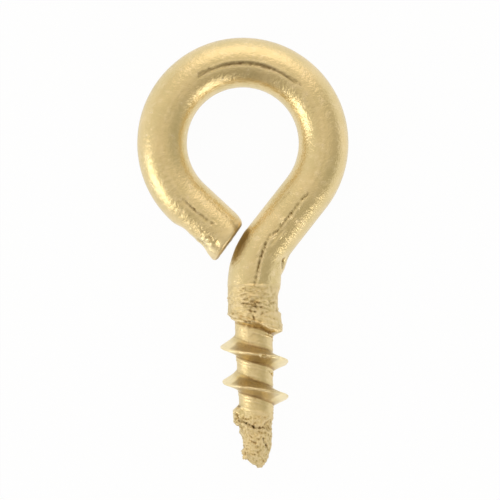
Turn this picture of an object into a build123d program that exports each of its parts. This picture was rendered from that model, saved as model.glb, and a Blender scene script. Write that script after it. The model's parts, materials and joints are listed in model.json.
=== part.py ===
from build123d import *
import os
from math import asin, atan, cos, degrees, radians, sin, tan

# Screw eye formed from one plated wire, in millimetres. It is drawn with the eye's centre at the origin,
# the eye in the XY plane and the shank running towards -Y, and is then laid on Z = 0 as it rests.

# Wire and eye
wire_diameter = 1.18
eye_outer_diameter = 5.0
eye_gap = 0.14             # slit between the free end and the neck
free_leg_slant = 47.0      # degrees off the line of the eye and shank
free_end_cut = 7.0         # degrees off square
free_end_rounding = 0.1
neck_slant = 38.0          # degrees off the line of the eye and shank
neck_bend_radius = 1.6     # on the wire's centre line
shank_offset = 0.21        # sideways, from the eye's centre to the corner of neck and shank
shank_lean = 1.8           # degrees

# Threaded shank, with distances along its axis from the corner of neck and shank
shoulder_distance = 1.46
core_diameter = 0.88
core_end_diameter = 0.79
crest_diameter = 1.61
thread_lefthand = True
pitch = 0.82
thread_turns = 3
run_in_turns = 1.0         # over which the crest grows out of the plain shank
run_out_turns = 0.5        # over which it dies away
fin_root_width = 0.36
fin_crest_width = 0.05

# Torn stub in place of a sharp point
stub_straight = 0.3
stub_taper = 0.98
nose_diameter = 0.58
nose_slant = 22.0          # degrees off square
nose_rounding = 0.1

wire_radius = wire_diameter / 2
ring_radius = (eye_outer_diameter - wire_diameter) / 2
core_radius = core_diameter / 2
core_end_radius = core_end_diameter / 2
crest_radius = crest_diameter / 2
nose_radius = nose_diameter / 2

# The neck leaves the ring at a tangent and meets the shank's axis at the corner
neck_top = Vector(cos(radians(neck_slant)), -sin(radians(neck_slant))) * ring_radius
neck_direction = Vector(-sin(radians(neck_slant)), -cos(radians(neck_slant)))
corner = neck_top + neck_direction * ((neck_top.X - shank_offset) / sin(radians(neck_slant)))
shank_direction = Vector(sin(radians(shank_lean)), -cos(radians(shank_lean)))
shank_side = Vector(-cos(radians(shank_lean)), -sin(radians(shank_lean)))
shank_plane = Plane(origin=corner, x_dir=shank_side, z_dir=shank_direction)

# The free leg leaves the ring at a tangent and stops one gap short of the outside of the neck's bend
bend_foot = neck_bend_radius * tan(radians(neck_slant + shank_lean) / 2)
bend_centre = corner + shank_direction * bend_foot - shank_side * neck_bend_radius
free_leg_angle = 180 + free_leg_slant
leg_top = Vector(cos(radians(free_leg_angle)), sin(radians(free_leg_angle))) * ring_radius
leg_direction = Vector(sin(radians(free_leg_slant)), -cos(radians(free_leg_slant)))
end_normal = leg_direction.rotate(Axis.Z, free_end_cut)
end_clearance = neck_bend_radius + wire_radius + eye_gap
leg_length = ((bend_centre - leg_top).dot(end_normal) - end_clearance) / leg_direction.dot(end_normal)
leg_end = leg_top + leg_direction * leg_length

# The fin starts inside the plain shank, and its lower flank carries on from the slanted shoulder
fin_start = shoulder_distance - (fin_root_width + fin_crest_width) / 4 - pitch / 4
fin_end = fin_start + thread_turns * pitch
fin_root_radius = core_end_radius - fin_crest_width
taper_start = fin_end + stub_straight
nose_distance = taper_start + stub_taper
shoulder_slant = degrees(atan(pitch / 2 / wire_diameter))
if thread_lefthand:
    shoulder_slant = -shoulder_slant

# Thread fin, drawn with the shank's axis along Z
with BuildPart() as fin:
    with BuildLine() as fin_path:
        Helix(pitch, fin_end - fin_start, core_radius, center=(0, 0, fin_start), lefthand=thread_lefthand)
    with BuildSketch(Plane.XZ):
        with BuildLine():
            Polyline(
                (fin_root_radius, fin_start - fin_root_width / 2),
                (crest_radius, fin_start - fin_crest_width / 2),
                (crest_radius, fin_start + fin_crest_width / 2),
                (fin_root_radius, fin_start + fin_root_width / 2),
                close=True,
            )
        make_face()
    sweep(path=fin_path.wire(), is_frenet=True)
    # The envelope that the crest reaches, from inside the plain shank to the stub
    with BuildSketch(Plane.XZ):
        with BuildLine():
            Polyline(
                (0, fin_start - pitch),
                (wire_radius - fin_crest_width, fin_start - pitch),
                (wire_radius - fin_crest_width, fin_start),
                (crest_radius, fin_start + run_in_turns * pitch),
                (crest_radius, fin_end - run_out_turns * pitch),
                (wire_radius, fin_end),
                (0, fin_end + pitch),
                close=True,
            )
        make_face()
    revolve(axis=Axis.Z, mode=Mode.INTERSECT)

# Threaded shank: the tapering core with its torn nose, and the fin, also along Z
with BuildPart() as threaded_shank:
    with BuildSketch(Plane.XZ):
        with BuildLine():
            Polyline(
                (0, shoulder_distance - wire_diameter),
                (core_radius, shoulder_distance - wire_diameter),
                (core_radius, shoulder_distance),
                (core_end_radius, taper_start),
                (nose_radius, nose_distance),
                (0, nose_distance),
                close=True,
            )
        make_face()
    revolve(axis=Axis.Z)
    nose_normal = Vector(0, 0, 1).rotate(Axis.Y, nose_slant)
    split(bisect_by=Plane((-nose_radius, 0, nose_distance), z_dir=nose_normal), keep=Keep.BOTTOM)
    fillet(threaded_shank.faces().sort_by(Axis.Z)[-1].edges(), nose_rounding)
    add(fin.part)

# Free leg, sheared almost square, with its edge rounded over
with BuildPart() as free_leg:
    with BuildSketch(Plane(leg_top, z_dir=leg_direction)):
        Circle(wire_radius)
    extrude(amount=leg_length + wire_radius)
    split(bisect_by=Plane(leg_end, z_dir=end_normal), keep=Keep.BOTTOM)
    fillet(free_leg.faces().sort_by(Axis(leg_top, leg_direction))[-1].edges(), free_end_rounding)

# Ring, neck and plain shank down to the slanted shoulder, with the other two sections joined on
with BuildPart() as formed_wire:
    with BuildLine() as wire_path:
        CenterArc((0, 0), ring_radius, free_leg_angle, -neck_slant - free_leg_angle)
        FilletPolyline(
            neck_top,
            corner,
            corner + shank_direction * (shoulder_distance + wire_diameter),
            radius=neck_bend_radius,
        )
    with BuildSketch(Plane(leg_top, z_dir=-leg_direction)):
        Circle(wire_radius)
    sweep(path=wire_path.wire())
    split(
        bisect_by=Plane(
            corner + shank_direction * shoulder_distance,
            z_dir=shank_direction.rotate(Axis.Z, shoulder_slant),
        ),
        keep=Keep.BOTTOM,
    )
    add(free_leg.part)
    with Locations(shank_plane):
        add(threaded_shank.part)

# The fin stands prouder than the wire, so the lying part rests on the far side of its ring and on the
# first turn of the full-height fin, where that passes underneath
underside_turn = 0.75 if thread_lefthand else 0.25
fin_contact = (corner + shank_direction * (fin_start + (run_in_turns + underside_turn) * pitch)).Y
rest_tilt = degrees(asin((crest_radius - wire_radius) / (ring_radius - fin_contact)))
laid_box = (Rotation(-rest_tilt, 0, 0) * formed_wire.part).bounding_box()
laid_centre = laid_box.center()

with BuildPart() as screw_eye:
    with Locations(Location((-laid_centre.X, -laid_centre.Y, -laid_box.min.Z), (-rest_tilt, 0, 0))):
        add(formed_wire.part)

os.makedirs("parts", exist_ok=True)
screw_eye.part.label = "screw_eye"
export_step(screw_eye.part, "parts/screw_eye.step")
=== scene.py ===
import json
import math
import random

import bpy
import numpy as np
from mathutils import Matrix, Vector, noise


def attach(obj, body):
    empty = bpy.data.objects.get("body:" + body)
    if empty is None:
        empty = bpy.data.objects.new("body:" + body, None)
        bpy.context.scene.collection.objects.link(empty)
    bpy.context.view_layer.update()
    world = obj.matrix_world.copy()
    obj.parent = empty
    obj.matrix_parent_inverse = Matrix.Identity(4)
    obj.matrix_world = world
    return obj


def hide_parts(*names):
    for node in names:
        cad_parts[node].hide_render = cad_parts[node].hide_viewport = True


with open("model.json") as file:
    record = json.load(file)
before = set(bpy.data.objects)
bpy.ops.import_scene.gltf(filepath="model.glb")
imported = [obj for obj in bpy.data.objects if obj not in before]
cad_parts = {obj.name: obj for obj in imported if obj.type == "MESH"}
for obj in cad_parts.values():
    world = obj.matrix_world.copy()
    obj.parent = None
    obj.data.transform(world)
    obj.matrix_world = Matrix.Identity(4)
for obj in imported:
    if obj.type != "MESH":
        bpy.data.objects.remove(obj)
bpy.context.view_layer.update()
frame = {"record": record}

random.seed(47)

# The piece is worked in millimetres with the eye's middle at the origin, the eye
# flat in XY and the shank running down -Y. It is put in its place at the very end.


def clearSelection():
    if bpy.context.mode != "OBJECT":
        bpy.ops.object.mode_set(mode="OBJECT")
    bpy.ops.object.select_all(action="DESELECT")


def pickVerts(obj, test):
    # leaves edit mode on, with only the vertices that pass the test selected
    bpy.ops.object.mode_set(mode="EDIT")
    bpy.ops.mesh.select_mode(type="VERT")
    bpy.ops.mesh.select_all(action="DESELECT")
    bpy.ops.object.mode_set(mode="OBJECT")
    for vert in obj.data.vertices:
        vert.select = test(vert.co)
    bpy.ops.object.mode_set(mode="EDIT")


def extrudeRun(direction, length, rows):
    step = Vector(direction) * (length / rows)
    for i in range(rows):
        bpy.ops.mesh.extrude_edges_move(TRANSFORM_OT_translate={"value": step})


def smoothStep(low, high, x):
    t = np.clip((x - low) / (high - low), 0.0, 1.0)
    return t * t * (3 - 2 * t)


def heading(degrees):
    return Vector((math.cos(math.radians(degrees)), math.sin(math.radians(degrees)), 0))


def meshPoints(mesh):
    flat = np.empty(len(mesh.vertices) * 3)
    mesh.vertices.foreach_get("co", flat)
    return flat.reshape(-1, 3)


# the bent wire: free leg, ring, neck and the plain part of the shank

bentWire = {
    "radius": 0.59,
    "sides": 128,
    "ringRadius": 1.91,
    "legTurn": 227.0,        # where the ring becomes the free leg, degrees from +X
    "neckTurn": -38.0,       # where the ring becomes the neck
    "ringRows": 224,
    "legHeading": -43.0,
    "legLength": 1.3676,
    "legRows": 38,
    "endCut": 7.0,           # slant of the cut end
    "endRounding": 0.1,
    "faceRings": 11,         # rings on the cut face, to work its marks on
    "faceRingStep": 0.042,
    "neckLength": 1.5244,
    "neckRows": 40,
    "bendMiddle": (1.8274, -3.3622, 0.0),
    "bendTurn": 39.8,
    "bendRows": 38,
    "shankCorner": (0.21, -2.8336, 0.0),
    "shankHeading": -88.2,
    "bendFoot": 0.5792,      # from the corner to where the bend ends
    "plainEnd": 0.93,        # from the corner to where the threaded half takes over
    "plainRows": 18,
}

print("bent wire")
w = bentWire
legTop = heading(w["legTurn"]) * w["ringRadius"]
legRun = heading(w["legHeading"])
legEnd = legTop + legRun * w["legLength"]
neckRun = heading(w["neckTurn"] - 90)
shankRun = heading(w["shankHeading"])
shankSide = heading(w["shankHeading"] - 90)     # towards the left
shankCorner = Vector(w["shankCorner"])

clearSelection()
overrun = 0.25           # wire left past the end, to be cut off
bpy.ops.mesh.primitive_circle_add(
    vertices=w["sides"], radius=w["radius"], fill_type="NOTHING",
    location=legEnd + legRun * overrun,
    rotation=legRun.to_track_quat("Z", "Y").to_euler())
wire = bpy.context.object
wire.name = "screw_eye_body"
bpy.ops.object.transform_apply(location=True, rotation=True, scale=True)
bpy.ops.object.mode_set(mode="EDIT")
bpy.ops.mesh.select_all(action="SELECT")
extrudeRun(-legRun, overrun + 0.2, 1)
extrudeRun(-legRun, w["legLength"] - 0.2, w["legRows"])

# the free end is cut on a slant, rounded over, and its face gets rings to work on
cutRun = heading(w["legHeading"] + w["endCut"])
bpy.ops.mesh.select_all(action="SELECT")
bpy.ops.mesh.bisect(plane_co=legEnd, plane_no=cutRun, use_fill=True, clear_outer=True)
pickVerts(wire, lambda co: abs((co - legEnd).dot(cutRun)) < 0.001)
bpy.ops.mesh.select_mode(type="EDGE")
bpy.ops.mesh.bevel(offset=w["endRounding"], segments=5, affect="EDGES")
bpy.ops.mesh.select_mode(type="FACE")
bpy.ops.mesh.select_all(action="DESELECT")
bpy.ops.object.mode_set(mode="OBJECT")
for face in wire.data.polygons:
    face.select = len(face.vertices) > 60
bpy.ops.object.mode_set(mode="EDIT")
for i in range(w["faceRings"]):
    bpy.ops.mesh.inset(thickness=w["faceRingStep"])
bpy.ops.mesh.poke()

# then the wire goes on round the ring, down the neck and into the shank
bpy.ops.mesh.select_mode(type="EDGE")
bpy.ops.mesh.select_all(action="DESELECT")
bpy.ops.mesh.select_non_manifold(extend=False)
bpy.ops.mesh.spin(steps=w["ringRows"], angle=math.radians(w["legTurn"] - w["neckTurn"]),
                  center=(0, 0, 0), axis=(0, 0, 1))
extrudeRun(neckRun, w["neckLength"], w["neckRows"])
bpy.ops.mesh.spin(steps=w["bendRows"], angle=-math.radians(w["bendTurn"]),
                  center=w["bendMiddle"], axis=(0, 0, 1))
extrudeRun(shankRun, w["plainEnd"] - w["bendFoot"], w["plainRows"])
bpy.ops.mesh.select_all(action="SELECT")
bpy.ops.mesh.remove_doubles(threshold=0.0005)
bpy.ops.object.mode_set(mode="OBJECT")


# the threaded half: collar, shoulder, core, torn fin and broken tip

threadedHalf = {
    "pitch": 0.82,
    "around": 160,           # columns in one turn
    "along": 44,             # cuts in one pitch
    "turns": 7,
    "start": 0.95,           # from the corner, just past the plain wire
    "end": 4.84,
    "collarRadius": 0.59,
    "shoulder": 1.46,
    "shoulderSlant": 19.2,
    "coreRadius": 0.44,
    "coreEndRadius": 0.395,
    "taperStart": 3.9,
    "crestRadius": 0.805,
    "finStart": 1.1525,
    "finTurns": 3.0,
    "finRoot": 0.205,        # half the fin's width at the core
    "finCrest": 0.022,       # half its width at the crest
    "finHollow": 1.55,       # how far the flanks sink in, 1 is straight
    "leftFoot": 0.095,       # the fin's foot reaches this much further up on the left
    "crestRaggedness": 0.028,
    "shoulderRaggedness": 0.022,
    "shoulderLip": 0.02,
    "dieRidges": ((0.24, 0.022), (0.31, 0.018), (-0.29, 0.013)),   # beside the crest, height
    "stubStart": 3.7,
}

print("threaded half")
t = threadedHalf
clearSelection()
bpy.ops.mesh.primitive_plane_add(size=t["pitch"], location=(0, 0, 0),
                                 rotation=(math.radians(90), 0, 0))
thread = bpy.context.object
bpy.ops.object.transform_apply(location=True, rotation=True, scale=True)
pickVerts(thread, lambda co: co.x < 0)
bpy.ops.mesh.delete(type="VERT")
bpy.ops.mesh.select_all(action="SELECT")
bpy.ops.mesh.subdivide(number_cuts=t["along"])
bpy.ops.transform.translate(value=(t["collarRadius"] - t["pitch"] / 2, 0,
                                   t["finStart"] - t["pitch"]))
bpy.ops.object.mode_set(mode="OBJECT")
winding = thread.modifiers.new("winding", "SCREW")
winding.axis = "Z"
winding.angle = -2 * math.pi           # turns the left-handed way
winding.screw_offset = t["pitch"]
winding.iterations = t["turns"]
winding.steps = winding.render_steps = t["around"]
winding.use_merge_vertices = False
bpy.ops.object.modifier_apply(modifier=winding.name)
bpy.ops.object.mode_set(mode="EDIT")
bpy.ops.mesh.select_all(action="SELECT")
bpy.ops.mesh.remove_doubles(threshold=0.002)
bpy.ops.mesh.select_all(action="SELECT")
bpy.ops.mesh.bisect(plane_co=(0, 0, t["start"]), plane_no=(0, 0, -1), clear_outer=True)
bpy.ops.mesh.select_all(action="SELECT")
bpy.ops.mesh.bisect(plane_co=(0, 0, t["end"]), plane_no=(0, 0, 1), use_fill=True,
                    clear_outer=True)
bpy.ops.object.mode_set(mode="OBJECT")
print("  thread mesh", len(thread.data.vertices))

# radius of every point, from how far down and how far round it is
stubProfile = [  # down the shank, towards the left, towards the right
    (3.70, 0.435, 0.385), (3.80, 0.430, 0.360), (3.86, 0.415, 0.352), (3.98, 0.395, 0.350),
    (4.10, 0.350, 0.345), (4.21, 0.328, 0.338), (4.34, 0.325, 0.325), (4.45, 0.330, 0.290),
    (4.57, 0.330, 0.250), (4.62, 0.265, 0.235), (4.69, 0.200, 0.195), (4.76, 0.100, 0.155),
    (4.80, 0.040, 0.120), (4.83, 0.020, 0.080), (4.86, 0.010, 0.040)]


def threadRadius(down, left, back):
    turn = np.arctan2(back, left)
    half = t["pitch"] / 2
    fromCrest = (down - t["finStart"] + turn / (2 * np.pi) * t["pitch"] + half) % t["pitch"] - half
    wound = (down - fromCrest - t["finStart"]) / t["pitch"]      # turns of fin so far
    rough = np.array([noise.fractal(Vector((a * 9.0, 3.0, 2.5)), 0.6, 2.0, 4) for a in wound])
    wavy = np.array([noise.noise(Vector((a * 5.0, 8.1, 0.3))) for a in wound])
    fromCrest = fromCrest + 0.02 * wavy + 0.010 * (1 - np.cos(turn))
    taper = smoothStep(t["shoulder"], t["taperStart"], down)
    core = t["coreRadius"] + (t["coreEndRadius"] - t["coreRadius"]) * taper
    stubDown = [row[0] for row in stubProfile]
    toLeft = np.interp(down, stubDown, [row[1] for row in stubProfile])
    toRight = np.interp(down, stubDown, [row[2] for row in stubProfile])
    share = 0.5 + 0.5 * np.cos(turn)
    stub = toLeft * share + toRight * (1 - share)
    core = np.where(down > t["stubStart"], stub, core)

    # the crest grows out of the collar, sinks near its end and then runs out under the core
    crest = t["crestRadius"] + t["crestRaggedness"] * rough
    crest = 0.54 + (crest - 0.54) * smoothStep(0.0, 0.95, wound)
    last = t["finTurns"]
    crest = crest + (0.60 - crest) * smoothStep(last - 0.5, last - 0.05, wound)
    crest = crest + (core - 0.02 - crest) * smoothStep(last - 0.09, last + 0.15, wound)
    upper = np.where(fromCrest < 0, t["leftFoot"], 0.0)
    foot = t["finRoot"] + upper * smoothStep(-0.2, 0.9, np.cos(turn))
    flank = np.clip((foot - np.abs(fromCrest)) / (foot - t["finCrest"]), 0, 1)
    fin = core + (t["crestRadius"] - t["coreRadius"]) * flank ** t["finHollow"]
    fin = np.minimum(fin, np.maximum(crest, core))
    for beside, height in t["dieRidges"]:
        ridge = height * np.exp(-((fromCrest - beside) / 0.018) ** 2) * (0.6 + 0.8 * wavy + 0.5 * rough)
        core = core + np.maximum(ridge, 0) * smoothStep(1.6, 1.7, down) * smoothStep(3.75, 3.5, down)

    # the collar bulges on the right and ends in a slanted, ragged shoulder with a rolled lip
    lean = np.tan(np.radians(t["shoulderSlant"]))
    ragged = np.array([noise.fractal(Vector((math.cos(a) * 2.2, math.sin(a) * 2.2, 5.0)),
                                     0.7, 2.0, 4) for a in turn])
    edge = t["shoulder"] - lean * t["collarRadius"] * np.cos(turn) + t["shoulderRaggedness"] * ragged
    bulge = 0.07 * np.exp(-((np.abs(turn) - np.pi) / 0.6) ** 2) * smoothStep(1.15, 1.22, down)
    collar = t["collarRadius"] + bulge
    over = smoothStep(-0.035, 0.03, down - edge)
    shoulder = collar * (1 - over) + core * over
    shoulder = shoulder + t["shoulderLip"] * np.exp(-((down - edge + 0.06) / 0.035) ** 2)
    blend = smoothStep(t["start"], t["start"] + 0.1, down)
    radius = np.maximum(np.maximum(fin, shoulder), core)
    radius = t["collarRadius"] * (1 - blend) + radius * blend

    # painted shade where the fin stands on the core, at the front and the back, which also makes it
    # duller
    root = np.where(fromCrest < 0, 0.50, 0.34) * smoothStep(0.225, 0.19, np.abs(fromCrest))
    root = root * smoothStep(0.48, 0.42, np.abs(left)) * smoothStep(0.79, 0.74, radius)
    root = root * smoothStep(1.5, 1.62, down) * smoothStep(3.5, 3.4, down)
    return radius, root


points = meshPoints(thread.data)
plain = np.hypot(points[:, 0], points[:, 1])
newRadius, rootShade = threadRadius(points[:, 2], points[:, 0], points[:, 1])
points[:, 0] *= newRadius / plain
points[:, 1] *= newRadius / plain
thread.data.vertices.foreach_set("co", points.ravel())
thread.data.update()
# the painted shade at the fin roots goes to the finish in this attribute
rootShadeLayer = thread.data.attributes.new("rootShade", "FLOAT", "POINT")
rootShadeLayer.data.foreach_set("value", rootShade.astype(np.float32))

# x, y and z, so far left, back and down, become the shank's own directions
toShank = Matrix((shankSide, shankRun.cross(shankSide), shankRun)).transposed().to_4x4()
thread.matrix_world = Matrix.Translation(shankCorner) @ toShank
bpy.ops.object.transform_apply(location=True, rotation=True, scale=True)

print("join")
clearSelection()
wire.select_set(True)
thread.select_set(True)
bpy.context.view_layer.objects.active = wire
bpy.ops.object.join()
bpy.ops.object.mode_set(mode="EDIT")
bpy.ops.mesh.select_mode(type="EDGE")
bpy.ops.mesh.select_all(action="DESELECT")
bpy.ops.mesh.select_non_manifold(extend=False)
bpy.ops.mesh.bridge_edge_loops()        # the only two open rings left face each other
bpy.ops.mesh.select_all(action="SELECT")
bpy.ops.mesh.normals_make_consistent(inside=False)
bpy.ops.mesh.select_all(action="DESELECT")
bpy.ops.mesh.select_non_manifold(extend=False)
bpy.ops.object.mode_set(mode="OBJECT")
print("  open edges", sum(e.select for e in wire.data.edges),
      "vertices", len(wire.data.vertices), "faces", len(wire.data.polygons))

# tool marks, burrs and tears, pressed or pulled with a soft round brush

print("marks")
points = meshPoints(wire.data)
grimeAndShade = np.zeros(len(points), dtype=np.float32)
# this layer starts with the painted shade at the fin roots; the brush adds real dirt and painted shade
# to it
wire.data.attributes["rootShade"].data.foreach_get("value", grimeAndShade)
wire.data.attributes.remove(wire.data.attributes["rootShade"])


def vertexNormals():
    wire.data.vertices.foreach_set("co", points.ravel())
    wire.data.update()
    normals = np.empty(len(points) * 3)
    wire.data.vertex_normals.foreach_get("vector", normals)
    return normals.reshape(-1, 3)


normals = vertexNormals()


def aroundShank(down, turn):
    # where the axis is, which way is out, and which way is across, at a turn about the shank
    out = shankSide * math.cos(turn) + Vector((0, 0, 1)) * math.sin(turn)
    across = shankSide * -math.sin(turn) + Vector((0, 0, 1)) * math.cos(turn)
    return shankCorner + shankRun * down, out, across


def onSurface(x, y, side):
    # the foremost (side 1) or hindmost (side -1) point over a place
    near = np.hypot(points[:, 0] - x, points[:, 1] - y) < 0.05
    if not near.any():
        return Vector((x, y, 0))
    z = points[near][:, 2] * side
    return Vector((x, y, z.max() * side))


def brush(path, width, depth, dirtAndShade=0.0, ragged=0.0, side=1, pull=None):
    # depth in, or out when it is negative; pull moves everything one way instead
    stops = []
    for a, b in zip(path, path[1:] or path):
        a, b = Vector(a), Vector(b)
        steps = max(1, int((b - a).length / (width * 0.45)))
        stops += [a.lerp(b, i / steps) for i in range(steps + 1)]
    spots = np.array([s if len(s) == 3 else onSurface(s[0], s[1], side) for s in stops])
    low, high = spots.min(0) - width, spots.max(0) + width
    inside = np.where(((points > low) & (points < high)).all(1))[0]
    if not len(inside):
        return
    here = points[inside]
    away = np.sqrt(((here[:, None, :] - spots[None]) ** 2).sum(2)).min(1)
    fall = np.clip(1 - (away / width) ** 2, 0, 1) ** 2
    if ragged:
        jitter = np.array([noise.fractal(Vector(p) * 14.0, 0.6, 2.0, 3) for p in here])
        fall = fall * np.clip(1 + ragged * jitter * 2.2, 0, 2.2)
    way = np.array(pull) if pull is not None else -normals[inside]
    points[inside] = here + way * (fall * depth)[:, None]
    # the brush darkens where it presses: real dirt in places, painted shade in sunk marks, nicks,
    # cracks and grooves
    grimeAndShade[inside] = np.maximum(grimeAndShade[inside], np.clip(fall, 0, 1) * dirtAndShade)


# free end: outer edge squeezed in, burr on the lower lip, dirty upper corner
brush([(-1.36, -2.10, 0), (-1.20, -2.26, 0), (-1.02, -2.44, 0)], 0.38, 0.085, pull=(0.70, 0.70, 0))
brush([(-1.05, -2.34), (-0.90, -2.47)], 0.10, 0.035, dirtAndShade=0.30, ragged=0.6)
brush([(-0.92, -2.20), (-0.80, -2.33), (-0.70, -2.52)], 0.055, -0.034, ragged=1.2)
brush([(-0.86, -2.34), (-0.76, -2.46), (-0.68, -2.60)], 0.045, 0.022, dirtAndShade=0.30, ragged=1.2)
brush([(-0.97, -2.30), (-0.84, -2.46), (-0.72, -2.62)], 0.05, -0.034, ragged=1.2)
brush([(-0.82, -2.22), (-0.72, -2.34)], 0.045, 0.018, dirtAndShade=0.15, ragged=1.2)
for i in range(16):
    spot = Vector((random.uniform(-0.98, -0.62), random.uniform(-2.60, -2.24)))
    slide = Vector((random.uniform(-0.06, 0.06), random.uniform(-0.09, 0.09)))
    brush([spot, spot + slide], random.uniform(0.03, 0.045),
          random.choice((-1, 1)) * random.uniform(0.014, 0.026), ragged=1.0)
brush([(-0.64, -2.64, 0.12)], 0.14, -0.02, ragged=0.8)
brush([(0.08, -1.92, 0)], 0.36, 0.055, pull=(-0.62, -0.78, 0))
brush([(-0.20, -1.89), (-0.12, -2.08)], 0.11, 0.012, dirtAndShade=0.55, ragged=0.5)
brush([(-0.10, -1.93), (-0.13, -2.13), (-0.30, -2.36), (-0.52, -2.66)],
      0.045, 0.006, dirtAndShade=0.6, ragged=0.5)
fromEnd = points - np.array(legEnd)
cutFace = (np.abs(fromEnd @ np.array(cutRun)) < 0.03) & (np.linalg.norm(fromEnd, axis=1) < 0.7)
grimeAndShade[cutFace] = np.maximum(grimeAndShade[cutFace], 0.50)          # the sheared face is bare and dull
shearRun = cutRun.cross(Vector((0, 0, 1)))
for i in range(26):                                        # with the drag lines of the shear down it
    height = random.uniform(-0.5, 0.5)
    top = legEnd + Vector((0, 0, 1)) * height + shearRun * random.uniform(-0.45, 0.1)
    brush([top, top + shearRun * random.uniform(0.1, 0.4)], 0.035,
          random.uniform(-0.010, 0.014), dirtAndShade=0.7, ragged=0.8)

# die seam: a shallow broken line along the front of the wire; the dark colour brushed along it is
# partly a real seam and partly a painted reflection of a dark thing overhead
ringLine = [heading(angle) * w["ringRadius"] for angle in range(222, -36, -4)]
brush([(p.x, p.y) for p in ringLine], 0.06, -0.006, ragged=0.7)
seamArcs = ((124, 108, 0.050, 0.6), (114, 64, 0.064, 0.8),     # from, to, width, dirt and painted reflection
            (106, 70, 0.084, 0.85), (67, 47, 0.050, 0.65))
for first, last, width, dirtAndShade in seamArcs:
    arc = [heading(angle) * (w["ringRadius"] - 0.05) for angle in range(first, last - 1, -3)]
    brush([(p.x, p.y) for p in arc], width, 0.013, dirtAndShade=dirtAndShade, ragged=0.35)
    brush([(p.x, p.y) for p in arc], width * 0.72, 0.004, dirtAndShade=1.0, ragged=0.2)
seam = [((-1.34, -1.41), (-1.12, -1.63)), ((-1.10, -1.64), (-0.70, -1.94)),
        ((1.54, -1.22), (1.42, -1.34)), ((1.42, -1.34), (1.13, -1.70)), ((1.13, -1.70), (0.82, -2.10)),
        ((0.82, -2.10), (0.64, -2.22)), ((0.64, -2.22), (0.52, -2.44)), ((0.52, -2.44), (0.43, -2.70)),
        ((0.43, -2.70), (0.37, -2.96)), ((0.36, -3.02), (0.29, -3.33)),
        ((-1.05, 1.60), (-0.80, 1.73)), ((1.35, 1.36), (1.12, 1.54))]
for begin, end in seam:
    brush([begin, end], 0.046, 0.020, dirtAndShade=0.62, ragged=1.0)
    if begin[1] < -1.3:
        brush([(x + 0.055, y - 0.02) for x, y in (begin, end)], 0.040, -0.012, ragged=1.1)
for i in range(30):                     # crinkles beside it on the neck
    along = random.uniform(0, 1)
    spot = Vector((1.24, -1.62)).lerp(Vector((0.42, -2.75)), along)
    spot += Vector((random.uniform(-0.16, 0.16), random.uniform(-0.1, 0.1)))
    slide = Vector((-0.62, -0.79)) * random.uniform(0.05, 0.16)
    brush([spot, spot + slide], random.uniform(0.03, 0.05),
          random.choice((-1, 1)) * random.uniform(0.010, 0.020), ragged=0.9)
for i in range(14):                     # and on the free leg
    along = random.uniform(0, 1)
    spot = Vector((-1.30, -1.45)).lerp(Vector((-0.72, -2.15)), along)
    spot += Vector((random.uniform(-0.2, 0.2), random.uniform(-0.2, 0.2)))
    slide = Vector((0.73, -0.68)) * random.uniform(0.05, 0.14)
    brush([spot, spot + slide], random.uniform(0.035, 0.055),
          random.choice((-1, 1)) * random.uniform(0.006, 0.013), ragged=0.9)

# neck: a little fuller inside the bend, with a nick
brush([(0.94, -2.98, 0.0), (0.89, -3.28, 0.0)], 0.42, -0.085)
brush([(0.95, -2.76, 0.22), (0.99, -2.96, 0.18)], 0.085, 0.045, dirtAndShade=0.7, ragged=0.6)
# painted reflection: thin dark lines where the wire curves away inside the ring
brush([(-0.98, -1.16), (-0.862, -1.271), (-0.55, -1.57), (-0.245, -1.865)],
      0.040, 0.010, dirtAndShade=0.55, ragged=0.5)
brush([(1.085, -1.176), (0.63, -1.63), (0.325, -1.936)], 0.038, 0.008, dirtAndShade=0.42, ragged=0.5)
brush([(-1.48, 0.20), (-1.41, -0.39), (-1.24, -0.82), (-1.00, -1.10)],
      0.036, 0.005, dirtAndShade=0.16, ragged=0.6)

# collar: gripping marks of the thread die
brush([(-0.12, -3.41), (0.12, -3.38), (0.30, -3.39)], 0.034, -0.020, ragged=0.6)
brush([(0.33, -3.39), (0.52, -3.38)], 0.034, -0.018, ragged=0.6)
brush([(-0.10, -3.46), (0.10, -3.43), (0.46, -3.43)], 0.03, 0.012, dirtAndShade=0.25, ragged=0.8)
brush([(0.69, -3.40), (0.70, -3.52), (0.73, -3.62)], 0.042, 0.024, dirtAndShade=0.5, ragged=0.6)
for i in range(120):
    down = random.uniform(0.56, 1.25)
    middle, out, across = aroundShank(down, random.uniform(0, 2 * math.pi))
    slide = (across + shankRun * random.uniform(-0.45, 0.45)).normalized() * random.uniform(0.03, 0.14)
    spot = middle + out * t["collarRadius"]
    brush([spot - slide, spot + slide], random.uniform(0.026, 0.045),
          random.uniform(-0.014, 0.018), dirtAndShade=random.uniform(0, 0.2), ragged=0.9)
brush([(-0.04, -3.80), (0.24, -3.83), (0.44, -3.79), (0.66, -3.87)],
      0.036, 0.024, dirtAndShade=0.55, ragged=0.6)
brush([(0.10, -3.90), (0.36, -3.87), (0.52, -3.91), (0.67, -3.97)], 0.040, 0.028, dirtAndShade=0.6, ragged=0.6)
brush([(-0.10, -3.74), (0.06, -3.72), (0.20, -3.76)], 0.034, 0.018, dirtAndShade=0.3, ragged=0.8)
brush([(0.16, -3.98), (0.30, -4.00)], 0.042, 0.026, dirtAndShade=0.6, ragged=0.6)
brush([(0.22, -4.00), (0.24, -4.09), (0.28, -4.18)], 0.038, 0.026, dirtAndShade=0.5, ragged=0.7)

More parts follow.
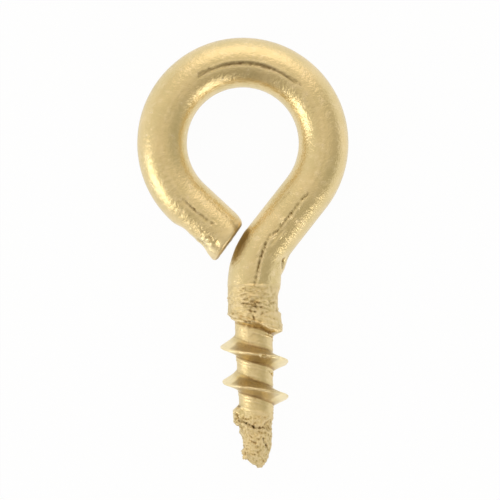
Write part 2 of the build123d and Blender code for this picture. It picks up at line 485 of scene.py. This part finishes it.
# shoulder: rolled lip, shadow under it, and a burr on the right where the fin begins
brush([(-0.32, -4.05), (0.02, -4.16), (0.36, -4.25), (0.70, -4.37)], 0.046, -0.032, ragged=0.8)
brush([(-0.26, -3.99), (-0.08, -4.05), (0.08, -4.11)], 0.036, -0.026, ragged=0.9)
brush([(-0.24, -4.04), (-0.06, -4.10), (0.06, -4.15)], 0.030, 0.018, dirtAndShade=0.30, ragged=0.9)
brush([(-0.30, -4.15), (0.05, -4.22)], 0.04, 0.015, dirtAndShade=0.3, ragged=0.5)
brush([(0.02, -4.24), (0.34, -4.34), (0.66, -4.48)], 0.055, 0.02, dirtAndShade=0.65, ragged=0.5)
brush([(0.79, -4.38, 0.22)], 0.17, -0.065, ragged=0.4)
brush([(0.80, -4.41)], 0.045, 0.04, dirtAndShade=0.5, ragged=0.4)
knobRing = [(0.77 + 0.12 * math.cos(a), -4.40 + 0.12 * math.sin(a)) for a in np.linspace(1.6, 5.6, 9)]
brush(knobRing, 0.036, 0.022, dirtAndShade=0.35, ragged=0.5)
brush([(0.60, -4.33), (0.66, -4.44)], 0.045, 0.025, dirtAndShade=0.4, ragged=0.5)
brush([(0.09, -4.20), (0.16, -4.28), (0.22, -4.33)], 0.05, -0.02, ragged=1.2)

# fin: nicks in the crest, and small ridges left on the core
for i in range(30):
    wound = random.uniform(0.8, 3.0)
    turn = -wound * 2 * math.pi
    middle = shankCorner + shankRun * (t["finStart"] + wound * t["pitch"])
    out = shankSide * math.cos(turn) + shankRun.cross(shankSide) * math.sin(turn)
    brush([middle + out * 0.80], random.uniform(0.07, 0.15), random.uniform(-0.02, 0.045),
          ragged=0.6, pull=-out)
for i in range(34):
    down = random.uniform(1.6, 4.5)
    middle, out, across = aroundShank(down, random.uniform(0, 2 * math.pi))
    spot = middle + out * 0.42
    slide = (across + shankRun * random.uniform(-0.6, 0.6)).normalized() * random.uniform(0.05, 0.2)
    brush([spot - slide, spot + slide], random.uniform(0.04, 0.07),
          random.choice((-1, 1)) * random.uniform(0.008, 0.02), dirtAndShade=random.uniform(0, 0.2), ragged=0.9)

# where the fin runs out: a torn lump, a crack below it, then the broken tip
brush([(-0.17, -6.36, 0.12), (-0.13, -6.58, 0.15)], 0.15, -0.045, ragged=0.8)
brush([(-0.05, -6.30), (0.03, -6.40), (0.00, -6.50)], 0.04, 0.018, dirtAndShade=0.35, ragged=0.8)
brush([(-0.14, -6.55), (0.05, -6.63), (0.26, -6.73)], 0.06, 0.055, dirtAndShade=0.75, ragged=0.6)
brush([(0.30, -6.74), (0.48, -6.72), (0.62, -6.80)], 0.045, 0.03, dirtAndShade=0.4, ragged=0.9)
brush([(0.05, -6.60), (0.30, -6.66)], 0.06, -0.02, ragged=0.8)
brush([(0.02, -7.30, 0.05), (0.05, -7.40, 0.08)], 0.10, -0.05, ragged=0.7)
brush([(0.10, -7.50, 0.1), (0.16, -7.56, 0.1)], 0.06, 0.04, dirtAndShade=0.3, ragged=0.7)
brush([(0.49, -7.00), (0.56, -7.12), (0.64, -7.27)], 0.055, 0.055, dirtAndShade=0.85, ragged=0.5)
for i in range(120):
    down = random.uniform(3.72, 4.8)
    middle, out, across = aroundShank(down, random.uniform(0, 2 * math.pi))
    spot = middle + out * (0.37 - 0.2 * max(0, down - 4.3))      # the stub narrows
    slide = across * random.uniform(-1, 1) + shankRun * random.uniform(-1, 1)
    slide *= random.uniform(0.01, 0.07)
    brush([spot - slide, spot + slide], random.uniform(0.030, 0.068),
          random.uniform(-0.036, 0.040), dirtAndShade=random.uniform(0, 0.22), ragged=1.0)

# the die's teeth left raised and sunk lines side by side across the front of the collar, with painted
# shadow in the sunk lines
for i in range(26):
    x, y = random.uniform(-0.18, 0.62), random.uniform(-3.92, -3.42)
    line = [(x, y)]
    for bend in range(3):
        x, y = line[-1]
        line.append((x + random.uniform(0.04, 0.09), y + random.uniform(-0.030, 0.028)))
    brush(line, 0.028, -0.020, ragged=1.0)
    brush([(x, y - 0.042) for x, y in line], 0.028, 0.016, dirtAndShade=0.32, ragged=1.0)

normals = vertexNormals()

# fine unevenness: more where the metal was worked

wear = {
    # how worked the metal is, at these places down the shank
    "down": (0.50, 0.60, 1.30, 1.55, 1.75, 3.50, 3.68, 4.9),
    "worked": (0.0, 0.72, 0.80, 0.5, 0.16, 0.16, 1.0, 1.0),
    "workedAtEnd": 0.35,
    "workedElsewhere": 0.07,
    # name, size of the lumps, strength, where
    "lumps": (("hammered", 0.16, 0.040, "worked"), ("gritty", 0.07, 0.030, "worked"),
              ("crinkled", 0.055, 0.048, "torn")),
}

print("unevenness")
downShank = (points - np.array(shankCorner)) @ np.array(shankRun)
onShank = (points[:, 1] < -2.9) & (np.abs(points[:, 0]) < 1.3)
worked = np.interp(downShank, wear["down"], wear["worked"]) * onShank
nearEnd = np.linalg.norm(points - np.array(legEnd), axis=1)
worked = np.maximum(worked, wear["workedAtEnd"] * smoothStep(0.9, 0.3, nearEnd))
worked = np.maximum(worked, wear["workedElsewhere"])

# painted highlight: the fin's side flanks are painted paler; the burr is worn pale
leftOf = (points - np.array(shankCorner)) @ np.array(shankSide)
fromAxis = np.hypot(leftOf, points[:, 2])
alongFin = (downShank > 1.7) & (downShank < 3.72) & onShank
wearAndSheen = smoothStep(0.46, 0.62, fromAxis) * smoothStep(0.38, 0.48, np.abs(leftOf)) * alongFin
burr = np.linalg.norm(points - np.array((-0.84, -2.40, 0.30)), axis=1)
wearAndSheen = np.maximum(wearAndSheen, 0.8 * smoothStep(0.34, 0.14, burr))
torn = smoothStep(3.60, 3.80, downShank) * onShank
for name, weights in (("worked", worked), ("torn", torn)):
    group = wire.vertex_groups.new(name=name)
    for level in range(1, 11):
        members = np.where(np.rint(weights * 10) == level)[0]
        if len(members):
            group.add(members.tolist(), weights[members].mean(), "REPLACE")
clearSelection()
wire.select_set(True)
bpy.context.view_layer.objects.active = wire
for name, size, strength, area in wear["lumps"]:
    grit = bpy.data.textures.new(name, "CLOUDS")
    grit.noise_scale = size
    grit.noise_depth = 2
    bumps = wire.modifiers.new(name, "DISPLACE")
    bumps.texture = grit
    bumps.texture_coords = "LOCAL"
    bumps.vertex_group = area
    bumps.strength = strength
    bumps.mid_level = 0.5
    bpy.ops.object.modifier_apply(modifier=name)
wire.vertex_groups.clear()

# how hollow or raised each point is, kept on the mesh for the finish

points = meshPoints(wire.data)
normals = vertexNormals()
ends = np.empty(len(wire.data.edges) * 2, dtype=np.int32)
wire.data.edges.foreach_get("vertices", ends)
ends = ends.reshape(-1, 2)
degree = np.bincount(ends.ravel(), minlength=len(points)).clip(1)


def neighbourMean(values):
    total = np.zeros(len(values))
    np.add.at(total, ends[:, 0], values[ends[:, 1]])
    np.add.at(total, ends[:, 1], values[ends[:, 0]])
    return total / degree


mean = np.stack([neighbourMean(points[:, axis]) for axis in range(3)], axis=1)
span = np.linalg.norm(points[ends[:, 0]] - points[ends[:, 1]], axis=1)
reach = np.bincount(ends.ravel(), weights=np.repeat(span, 2), minlength=len(points)) / degree
hollow = ((mean - points) * normals).sum(1) / np.maximum(reach, 0.005) ** 2
for i in range(4):
    hollow = 0.4 * hollow + 0.6 * neighbourMean(hollow)
layers = {"hollow": 0.5 + hollow * 0.06, "grimeAndShade": grimeAndShade, "worked": worked, "wearAndSheen": wearAndSheen}
for name, values in layers.items():
    layer = wire.data.attributes.new(name, "FLOAT", "POINT")
    layer.data.foreach_set("value", np.clip(values, 0, 1).astype(np.float32))
print("  hollow", float(hollow.min()), float(hollow.max()), float(np.abs(hollow).mean()))

# into its place

print("place")
eyeMount = next(m for m in frame["record"]["mounts"] if m["name"] == "eye")
tilt = -math.atan2(eyeMount["axis"][1], eyeMount["axis"][2])
wire.matrix_world = (Matrix.Translation(eyeMount["pos_m"]) @ Matrix.Rotation(tilt, 4, "X")
                     @ Matrix.Scale(0.001, 4))
clearSelection()
wire.select_set(True)
bpy.context.view_layer.objects.active = wire
bpy.ops.object.transform_apply(location=True, rotation=True, scale=True)
bpy.ops.object.shade_smooth_by_angle(angle=math.radians(60))
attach(wire, "root")
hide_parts("screw_eye")

# finish: thin gold-coloured plating, grainy, duller where it was worked, with painted shade in hollows,
# painted highlights on raised parts and on the fin's side flanks, and browner with dirt and painted
# shade where the marks were brushed, mostly where it was worked

plating = {
    "gold": (0.80, 0.625, 0.315),
    "paleGold": (0.88, 0.72, 0.43),
    "oliveGold": (0.70, 0.56, 0.27),
    "wornAndSheenGold": (0.96, 0.83, 0.51),
    "creviceShade": (0.36, 0.21, 0.075),
    "dirtAndShade": (0.17, 0.105, 0.045),
    "roughness": (0.16, 0.28),
    "workedRoughness": 0.15,
    "dirtRoughness": 0.25,
    # strength and depth in metres of the bumps
    "peel": (0.50, 0.00003),
    "tooth": (0.30, 0.00001),
    "drag": (0.85, 0.00007),
}

print("finish")
gold = bpy.data.materials.new("platedGold")
gold.use_nodes = True
nodes, links = gold.node_tree.nodes, gold.node_tree.links
shader = nodes["Principled BSDF"]
shader.inputs["Metallic"].default_value = 1
coordinates = nodes.new("ShaderNodeTexCoord").outputs["Object"]


def rgba(colour):
    return (*colour, 1)


def attribute(name):
    node = nodes.new("ShaderNodeAttribute")
    node.attribute_name = name
    return node.outputs["Fac"]


def noiseAt(scale, detail, roughness=0.55, vector=None):
    node = nodes.new("ShaderNodeTexNoise")
    node.inputs["Scale"].default_value = scale
    node.inputs["Detail"].default_value = detail
    node.inputs["Roughness"].default_value = roughness
    links.new(coordinates if vector is None else vector, node.inputs["Vector"])
    return node.outputs["Fac"]


def spread(value, fromLow, fromHigh, toLow=0.0, toHigh=1.0):
    node = nodes.new("ShaderNodeMapRange")
    ends = {"From Min": fromLow, "From Max": fromHigh, "To Min": toLow, "To Max": toHigh}
    for socket, number in ends.items():
        node.inputs[socket].default_value = number
    links.new(value, node.inputs["Value"])
    return node.outputs["Result"]


def sums(operation, a, b):
    node = nodes.new("ShaderNodeMath")
    node.operation = operation
    for value, socket in ((a, node.inputs[0]), (b, node.inputs[1])):
        if isinstance(value, (int, float)):
            socket.default_value = value
        else:
            links.new(value, socket)
    return node.outputs[0]


def blend(amount, first, second):
    node = nodes.new("ShaderNodeMix")
    node.data_type = "RGBA"
    links.new(amount, node.inputs["Factor"])
    for value, socket in ((first, node.inputs["A"]), (second, node.inputs["B"])):
        if isinstance(value, tuple):
            socket.default_value = rgba(value)
        else:
            links.new(value, socket)
    return node.outputs["Result"]


def bump(height, strengthAndDepth, over=None):
    node = nodes.new("ShaderNodeBump")
    node.inputs["Strength"].default_value, node.inputs["Distance"].default_value = strengthAndDepth
    links.new(height, node.inputs["Height"])
    if over is not None:
        links.new(over, node.inputs["Normal"])
    return node.outputs["Normal"]


hollowness = attribute("hollow")
grimeAndShadeAmount = attribute("grimeAndShade")
workedness = attribute("worked")
wearAndSheenAmount = attribute("wearAndSheen")
cloudy = noiseAt(1400, 3)                      # scales are per metre: a 10 mm piece
mottled = noiseAt(5200, 4, 0.6)
grain = noiseAt(12000, 4, 0.62)
fine = noiseAt(32000, 2, 0.6)

tone = blend(spread(cloudy, 0.38, 0.68), plating["oliveGold"], plating["gold"])
tone = blend(spread(mottled, 0.50, 0.74, 0.0, 0.6), tone, plating["paleGold"])
# painted highlight: raised parts are painted paler
tone = blend(spread(hollowness, 0.52, 0.40, 0.0, 0.55), tone, plating["paleGold"])
# painted highlight on the fin's side flanks, and real wear on the burr
rubbedAndSheen = sums("MULTIPLY", wearAndSheenAmount, spread(mottled, 0.30, 0.60, 0.55, 0.90))
tone = blend(rubbedAndSheen, tone, plating["wornAndSheenGold"])
# painted shade: hollows are darkened towards the crevice colour
tone = blend(spread(hollowness, 0.56, 0.74, 0.0, 0.75), tone, plating["creviceShade"])
# real dirt and painted shade from the brushed marks, the seam and the fin roots
patchyDirtAndShade = sums("MULTIPLY", grimeAndShadeAmount, spread(mottled, 0.30, 0.60, 0.55, 1.0))
tone = blend(patchyDirtAndShade, tone, plating["dirtAndShade"])
links.new(tone, shader.inputs["Base Color"])

dull = spread(mottled, 0.35, 0.70, *plating["roughness"])
dull = sums("ADD", dull, spread(workedness, 0.08, 0.16, 0.0, plating["workedRoughness"]))
dull = sums("ADD", dull, sums("MULTIPLY", grimeAndShadeAmount, plating["dirtRoughness"]))
links.new(dull, shader.inputs["Roughness"])

peel = bump(grain, plating["peel"])            # orange peel of the plating
tooth = bump(fine, plating["tooth"], peel)     # and a finer tooth over it
drag = nodes.new("ShaderNodeMapping")          # crackled drag marks where the die gripped
drag.inputs["Scale"].default_value = (0.55, 1.5, 0.8)
links.new(coordinates, drag.inputs["Vector"])
crackle = noiseAt(10000, 4, 0.65, drag.outputs["Vector"])
dragged = bump(sums("MULTIPLY", crackle, spread(workedness, 0.1, 1.0)), plating["drag"], tooth)
links.new(dragged, shader.inputs["Normal"])
wire.data.materials.clear()
wire.data.materials.append(gold)


# floor, studio light and camera; nodes and links now name the tree being built

studio = {
    "floorSize": 1.2,
    "floorColour": (0.93, 0.93, 0.93),
    "floorGlow": 0.96,        # share of the floor that is plain white to the eye
    "sky": (0.84, 0.79, 0.71),
    "horizon": (1.0, 1.0, 1.0),
    # darker and lighter parts of the sky: towards, full within and gone by so many degrees, colour
    "skyPatches": (
        ((0, -0.85, 0.50), 8, 58, (0.42, 0.39, 0.33)),
        ((0.86, -0.05, 0.50), 8, 40, (0.54, 0.52, 0.44)),
        ((-0.9, 0.1, 0.45), 10, 45, (0.90, 0.88, 0.82))),
    "panelDistance": 0.30,
    # towards, size, watts, colour
    "panels": {
        "backPanel": ((0.05, 0.94, 0.50), (0.36, 0.28), 0.195, (1.0, 0.915, 0.90)),
        "leftPanel": ((-0.87, -0.36, 0.31), (0.145, 0.13), 0.15, (1.0, 0.97, 0.98)),
        "rightPanel": ((0.53, -0.82, 0.26), (0.14, 0.13), 0.13, (1.0, 0.97, 0.98))},
    "cameraPlace": (0.00017, 0.00006, 0.15),
    "viewHeight": 0.00065,    # the height at which the view is viewWidth wide
    "viewWidth": 0.01183,
}

print("studio")
clearSelection()
bpy.ops.mesh.primitive_plane_add(size=studio["floorSize"], location=(0, 0, 0))
floor = bpy.context.object
floor.name = "floor"
paper = bpy.data.materials.new("paleFloor")
paper.use_nodes = True
nodes, links = paper.node_tree.nodes, paper.node_tree.links
nodes["Principled BSDF"].inputs["Base Color"].default_value = rgba(studio["floorColour"])
nodes["Principled BSDF"].inputs["Roughness"].default_value = 0.9
glow = nodes.new("ShaderNodeEmission")
glow.inputs["Strength"].default_value = 1
ray = nodes.new("ShaderNodeLightPath")
seen = sums("MAXIMUM", ray.outputs["Is Camera Ray"], ray.outputs["Is Glossy Ray"])
seen = sums("MAXIMUM", seen, ray.outputs["Is Transmission Ray"])
seen = sums("MULTIPLY", seen, studio["floorGlow"])
both = nodes.new("ShaderNodeMixShader")
links.new(seen, both.inputs["Fac"])
links.new(nodes["Principled BSDF"].outputs["BSDF"], both.inputs[1])
links.new(glow.outputs["Emission"], both.inputs[2])
links.new(both.outputs["Shader"], nodes["Material Output"].inputs["Surface"])
floor.data.materials.append(paper)

world = bpy.data.worlds.new("studio")
bpy.context.scene.world = world
world.use_nodes = True
nodes, links = world.node_tree.nodes, world.node_tree.links
aim = nodes.new("ShaderNodeTexCoord").outputs["Generated"]
split = nodes.new("ShaderNodeSeparateXYZ")
links.new(aim, split.inputs["Vector"])


def glowTowards(direction, narrow, wide):
    # 1 within narrow degrees of a direction, fading to 0 at wide degrees
    node = nodes.new("ShaderNodeVectorMath")
    node.operation = "DOT_PRODUCT"
    links.new(aim, node.inputs[0])
    node.inputs[1].default_value = Vector(direction).normalized()
    return spread(node.outputs["Value"], math.cos(math.radians(wide)),
                  math.cos(math.radians(narrow)))


air = studio["sky"]
for direction, narrow, wide, colour in studio["skyPatches"]:
    air = blend(glowTowards(direction, narrow, wide), air, colour)
air = blend(spread(split.outputs["Z"], 0.15, 0.05), air, studio["horizon"])
links.new(air, nodes["Background"].inputs["Color"])
nodes["Background"].inputs["Strength"].default_value = 1


for name, (towards, size, watts, colour) in studio["panels"].items():
    position = Vector(towards).normalized() * studio["panelDistance"]
    bpy.ops.object.light_add(type="AREA", location=position)
    panel = bpy.context.object
    panel.name = name
    panel.data.shape = "RECTANGLE"
    panel.data.size, panel.data.size_y = size
    panel.data.energy = watts
    panel.data.color = colour
    panel.rotation_euler = position.to_track_quat("Z", "Y").to_euler()
    panel.visible_camera = False

print("camera")
bpy.ops.object.camera_add(location=studio["cameraPlace"])
camera = bpy.context.object
camera.data.sensor_width = 36
viewDistance = studio["cameraPlace"][2] - studio["viewHeight"]
camera.data.lens = camera.data.sensor_width * viewDistance / studio["viewWidth"]
camera.data.clip_start = 0.01
bpy.context.scene.camera = camera
bpy.context.scene.view_settings.view_transform = "Standard"
